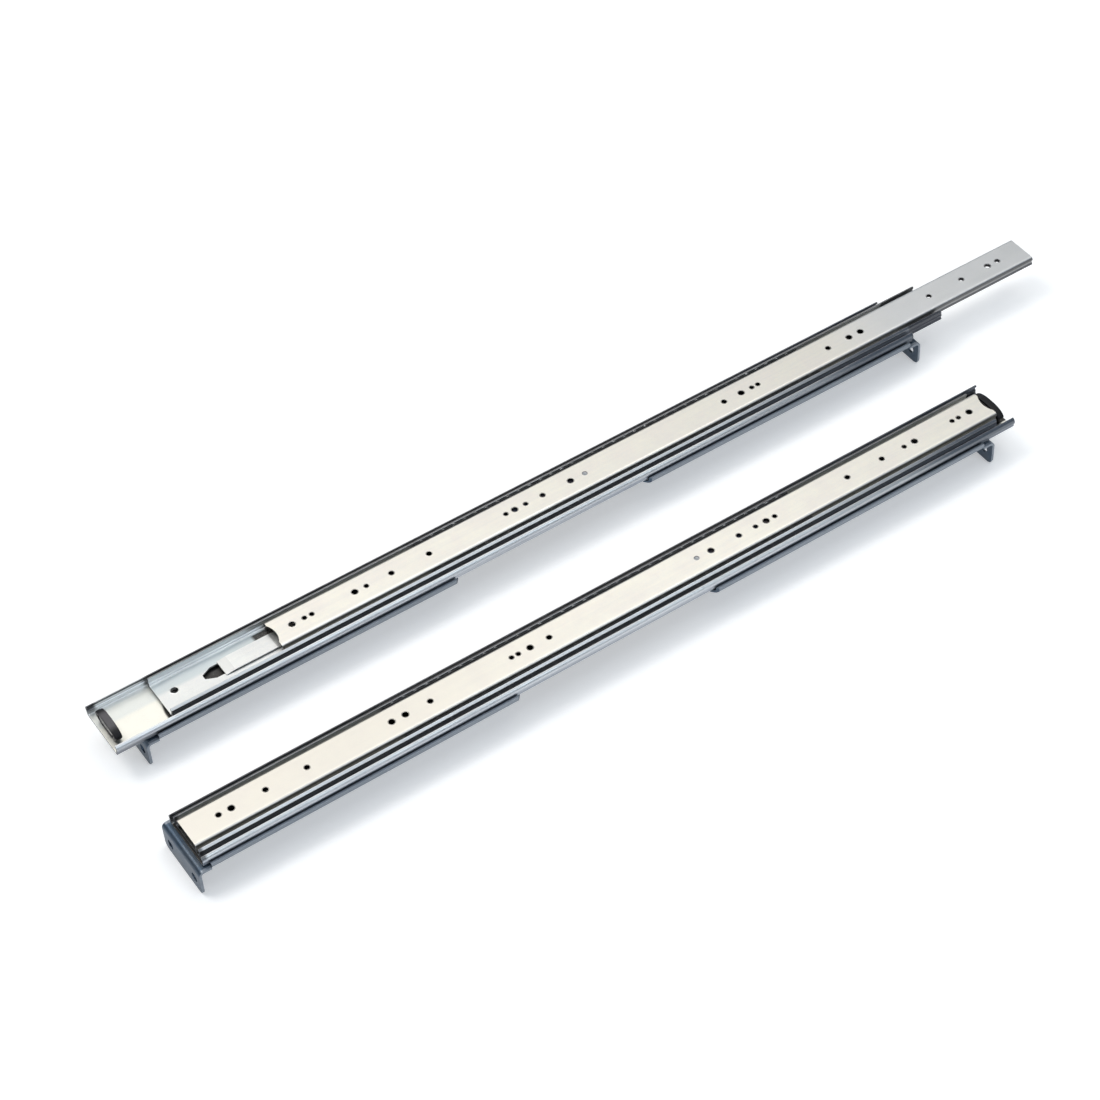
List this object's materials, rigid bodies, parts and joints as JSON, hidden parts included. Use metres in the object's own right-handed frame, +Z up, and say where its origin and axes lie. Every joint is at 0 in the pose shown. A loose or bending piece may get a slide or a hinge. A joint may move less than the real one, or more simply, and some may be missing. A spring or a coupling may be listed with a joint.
{
  "type": "sliding server rail pair",
  "caption": "Left and right ball-bearing slide rails of nested steel members, with rubber bumpers and rack ears, for hanging a server chassis in a rack.",
  "frame": {"origin": "middle of the bounding box, on the surface that the four rack ears stand on", "axes": "+X along the rails, towards the end where the left rail is drawn out; +Y from the right rail to the left one; +Z up, square to the chassis faces"},
  "size_m": [0.793, 0.1624, 0.035],
  "materials": {
    "bright_zinc": "bright zinc plate, satin, rolled along the rail",
    "zinc_steel": "zinc plate, satin",
    "bracket_steel": "dark slate-blue passivated sheet, satin",
    "dull_steel": "dull plated steel",
    "spring_steel": "blued spring steel",
    "ball_steel": "polished balls",
    "black_cage": "black oiled strip",
    "black_rubber": "matt moulded rubber"
  },
  "bodies": {
    "outer_pair": {"left_outer_member": "zinc_steel", "left_outer_stop_block": "zinc_steel", "left_rear_stop_post": "dull_steel", "left_rear_bumper": "black_rubber", "left_front_bracket": "bracket_steel", "left_front_rivets": "dull_steel", "left_rear_studs": "dull_steel", "left_rear_washers": "dull_steel", "left_rear_nuts": "dull_steel", "right_outer_member": "zinc_steel", "right_outer_stop_block": "zinc_steel", "right_rear_stop_post": "dull_steel", "right_rear_bumper": "black_rubber", "right_front_bracket": "bracket_steel", "right_front_rivets": "dull_steel", "right_rear_studs": "dull_steel", "right_rear_washers": "dull_steel", "right_rear_nuts": "dull_steel"},
    "left_intermediate": {"left_intermediate_member": "zinc_steel", "left_inner_stop_tab": "dull_steel", "left_detent_leaf": "zinc_steel"},
    "left_inner": {"left_inner_member": "bright_zinc", "left_lever_rivet": "dull_steel"},
    "left_release_lever_body": {"left_release_lever": "spring_steel"},
    "left_outer_cage": {"left_outer_ball_cage": "black_cage", "left_outer_balls": "ball_steel"},
    "left_inner_cage": {"left_inner_ball_cage": "black_cage", "left_inner_balls": "ball_steel"},
    "left_rear_bracket_body": {"left_rear_bracket": "bracket_steel"},
    "right_intermediate": {"right_intermediate_member": "zinc_steel", "right_inner_stop_tab": "dull_steel", "right_detent_leaf": "zinc_steel"},
    "right_inner": {"right_inner_member": "bright_zinc", "right_lever_rivet": "dull_steel"},
    "right_release_lever_body": {"right_release_lever": "spring_steel"},
    "right_outer_cage": {"right_outer_ball_cage": "black_cage", "right_outer_balls": "ball_steel"},
    "right_inner_cage": {"right_inner_ball_cage": "black_cage", "right_inner_balls": "ball_steel"},
    "right_rear_bracket_body": {"right_rear_bracket": "bracket_steel"}
  },
  "joints": [
    {"name": "left_intermediate_slide", "type": "slide", "parent": "outer_pair", "child": "left_intermediate", "axis": [1, 0, 0], "range_m": [-0.0314, 0.2766]},
    {"name": "left_inner_slide", "type": "slide", "parent": "left_intermediate", "child": "left_inner", "axis": [1, 0, 0], "range_m": [-0.092, 0.216]},
    {"name": "left_outer_cage_roll", "type": "slide", "parent": "outer_pair", "child": "left_outer_cage", "axis": [1, 0, 0], "range_m": [-0.0157, 0.1383]},
    {"name": "left_inner_cage_roll", "type": "slide", "parent": "left_intermediate", "child": "left_inner_cage", "axis": [1, 0, 0], "range_m": [-0.046, 0.108]},
    {"name": "left_rear_bracket_adjust", "type": "slide", "parent": "outer_pair", "child": "left_rear_bracket_body", "axis": [-1, 0, 0], "range_m": [-0.01, 0.05]},
    {"name": "left_lever_release", "type": "hinge", "parent": "left_inner", "child": "left_release_lever_body", "pos_m": [-0.00485, 0.05635, 0.0328], "axis": [0, 0, 1], "range_deg": [0, 6]},
    {"name": "right_intermediate_slide", "type": "slide", "parent": "outer_pair", "child": "right_intermediate", "axis": [-1, 0, 0], "range_m": [0, 0.308]},
    {"name": "right_inner_slide", "type": "slide", "parent": "right_intermediate", "child": "right_inner", "axis": [-1, 0, 0], "range_m": [0, 0.308]},
    {"name": "right_outer_cage_roll", "type": "slide", "parent": "outer_pair", "child": "right_outer_cage", "axis": [-1, 0, 0], "range_m": [0, 0.154]},
    {"name": "right_inner_cage_roll", "type": "slide", "parent": "right_intermediate", "child": "right_inner_cage", "axis": [-1, 0, 0], "range_m": [0, 0.154]},
    {"name": "right_rear_bracket_adjust", "type": "slide", "parent": "outer_pair", "child": "right_rear_bracket_body", "axis": [1, 0, 0], "range_m": [-0.01, 0.05]},
    {"name": "right_lever_release", "type": "hinge", "parent": "right_inner", "child": "right_release_lever_body", "pos_m": [0.01125, -0.05635, 0.0328], "axis": [0, 0, -1], "range_deg": [0, 6]}
  ],
  "couplings": [
    {"joint": "left_outer_cage_roll", "follows": "left_intermediate_slide", "ratio": 0.5},
    {"joint": "left_inner_cage_roll", "follows": "left_inner_slide", "ratio": 0.5},
    {"joint": "right_outer_cage_roll", "follows": "right_intermediate_slide", "ratio": 0.5},
    {"joint": "right_inner_cage_roll", "follows": "right_inner_slide", "ratio": 0.5}
  ]
}
